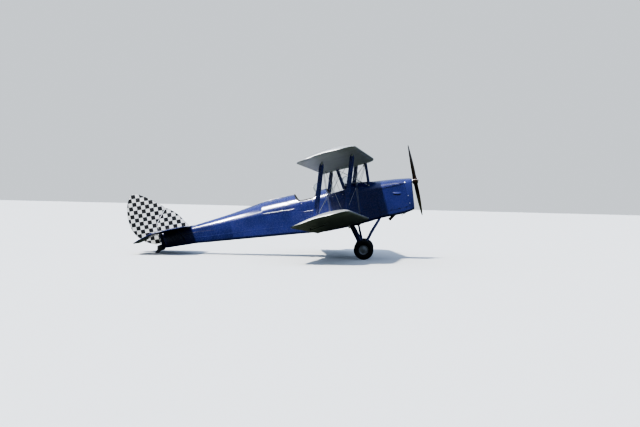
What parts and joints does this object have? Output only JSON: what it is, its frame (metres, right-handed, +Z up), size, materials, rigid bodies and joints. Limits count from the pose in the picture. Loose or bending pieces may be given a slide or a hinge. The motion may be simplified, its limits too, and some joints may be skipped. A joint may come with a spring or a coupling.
{
  "type": "two-seat training biplane",
  "caption": "Open-cockpit biplane with tandem seats, swept fabric wings joined by struts, an inline engine in a hinged cowling, fixed main wheels and a tail skid.",
  "frame": {"origin": "on the ground under the middle of the parked aircraft's box", "axes": "+X forward to the nose, +Y to the left wing tip, +Z up; parked tail down"},
  "size_m": [7.4368, 8.94, 2.8357],
  "materials": {
    "blue_enamel": "gloss dark blue enamel on sheet metal, plywood and tube",
    "blue_dope": "gloss dark blue doped fabric",
    "silver_dope": "satin silver doped fabric with rib tapes",
    "chequer_dope": "black and white chequers on doped fabric",
    "steel": "plated or bare steel, weathered",
    "engine_iron": "dark casting",
    "propeller_wood": "dark varnished laminated wood",
    "hub_enamel": "pale grey enamel",
    "tyre_rubber": "worn black rubber",
    "seat_leather": "brown leather over plywood",
    "windscreen_glass": "clear acrylic panes"
  },
  "bodies": {
    "airframe": {"firewall": "steel", "belly_panel": "blue_enamel", "front_decking": "blue_enamel", "centre_decking": "blue_enamel", "rear_decking": "blue_enamel", "front_side_panel_left": "blue_dope", "front_side_panel_right": "blue_dope", "rear_fuselage": "blue_dope", "front_seat": "seat_leather", "rear_seat": "seat_leather", "front_windscreen": "windscreen_glass", "rear_windscreen": "windscreen_glass", "nose_cowl": "blue_enamel", "top_cowl": "blue_enamel", "lower_cowl": "blue_enamel", "engine_block": "engine_iron", "exhaust_outlet": "steel", "oil_tank": "blue_enamel", "centre_section": "blue_enamel", "upper_wing_left": "silver_dope", "upper_wing_right": "silver_dope", "lower_wing_left": "silver_dope", "lower_wing_right": "silver_dope", "front_interplane_strut_left": "blue_enamel", "front_interplane_strut_right": "blue_enamel", "rear_interplane_strut_left": "blue_enamel", "rear_interplane_strut_right": "blue_enamel", "front_cabane_strut_left": "blue_enamel", "front_cabane_strut_right": "blue_enamel", "rear_cabane_strut_left": "blue_enamel", "rear_cabane_strut_right": "blue_enamel", "front_flying_wire_left": "steel", "front_flying_wire_right": "steel", "rear_flying_wire_left": "steel", "rear_flying_wire_right": "steel", "axle_left": "blue_enamel", "axle_right": "blue_enamel", "compression_leg_left": "blue_enamel", "compression_leg_right": "blue_enamel", "tail_skid": "steel", "tailplane": "blue_dope", "fin": "chequer_dope"},
    "propeller": {"propeller": "propeller_wood", "propeller_hub": "steel"},
    "wheel_left": {"wheel_left": "hub_enamel", "tyre_left": "tyre_rubber"},
    "wheel_right": {"wheel_right": "hub_enamel", "tyre_right": "tyre_rubber"},
    "rudder": {"rudder": "chequer_dope"},
    "elevators": {"elevators": "blue_dope"},
    "aileron_left": {"aileron_left": "silver_dope"},
    "aileron_right": {"aileron_right": "silver_dope"},
    "front_door_left": {"front_door_left": "blue_enamel"},
    "front_door_right": {"front_door_right": "blue_enamel"},
    "rear_door_left": {"rear_door_left": "blue_enamel"},
    "rear_door_right": {"rear_door_right": "blue_enamel"},
    "side_cowl_left": {"side_cowl_left": "blue_enamel"},
    "side_cowl_right": {"side_cowl_right": "blue_enamel"},
    "locker_lid": {"locker_lid": "blue_enamel"}
  },
  "joints": [
    {"name": "propeller_spin", "type": "hinge", "parent": "airframe", "child": "propeller", "pos_m": [3.50001, 0, 1.96999], "axis": [0.971, 0, 0.2389], "continuous": true},
    {"name": "wheel_left_spin", "type": "hinge", "parent": "airframe", "child": "wheel_left", "pos_m": [2.26554, 0.8, 0.24], "axis": [0, 1, 0], "continuous": true},
    {"name": "wheel_right_spin", "type": "hinge", "parent": "airframe", "child": "wheel_right", "pos_m": [2.26554, -0.8, 0.24], "axis": [0, 1, 0], "continuous": true},
    {"name": "rudder_swing", "type": "hinge", "parent": "airframe", "child": "rudder", "pos_m": [-2.91337, 0, 0.49522], "axis": [-0.2389, 0, 0.971], "range_deg": [-25, 25]},
    {"name": "elevator_swing", "type": "hinge", "parent": "airframe", "child": "elevators", "pos_m": [-2.83277, 0, 0.51504], "axis": [0, 1, 0], "range_deg": [0, 42.5]},
    {"name": "aileron_left_swing", "type": "hinge", "parent": "airframe", "child": "aileron_left", "pos_m": [1.0718, 3.065, 0.85497], "axis": [-0.109, 0.9928, 0.0501], "range_deg": [-20, 20]},
    {"name": "aileron_right_swing", "type": "hinge", "parent": "airframe", "child": "aileron_right", "pos_m": [1.0718, -3.065, 0.85497], "axis": [0.109, 0.9928, -0.0501], "range_deg": [-20, 20]},
    {"name": "front_door_left_drop", "type": "hinge", "parent": "airframe", "child": "front_door_left", "pos_m": [1.64368, 0.33615, 1.33618], "axis": [-0.971, 0.0125, -0.2389], "range_deg": [0, 170]},
    {"name": "front_door_right_drop", "type": "hinge", "parent": "airframe", "child": "front_door_right", "pos_m": [1.64368, -0.33615, 1.33618], "axis": [0.971, 0.0125, 0.2389], "range_deg": [0, 170]},
    {"name": "rear_door_left_drop", "type": "hinge", "parent": "airframe", "child": "rear_door_left", "pos_m": [0.8882, 0.33648, 1.15033], "axis": [-0.9709, -0.0178, -0.2388], "range_deg": [0, 170]},
    {"name": "rear_door_right_drop", "type": "hinge", "parent": "airframe", "child": "rear_door_right", "pos_m": [0.8882, -0.33648, 1.15033], "axis": [0.9709, -0.0178, 0.2388], "range_deg": [0, 170]},
    {"name": "side_cowl_left_lift", "type": "hinge", "parent": "airframe", "child": "side_cowl_left", "pos_m": [2.87087, 0.28274, 1.80852], "axis": [0.9681, -0.0784, 0.2382], "range_deg": [0, 80]},
    {"name": "side_cowl_right_lift", "type": "hinge", "parent": "airframe", "child": "side_cowl_right", "pos_m": [2.87087, -0.28274, 1.80852], "axis": [-0.9681, -0.0784, -0.2382], "range_deg": [0, 80]},
    {"name": "locker_lid_lift", "type": "hinge", "parent": "airframe", "child": "locker_lid", "pos_m": [-0.01683, -0.027, 1.41751], "axis": [-0.9624, 0, -0.2716], "range_deg": [0, 100]}
  ],
  "couplings": [
    {"joint": "aileron_right_swing", "follows": "aileron_left_swing", "ratio": -1}
  ]
}
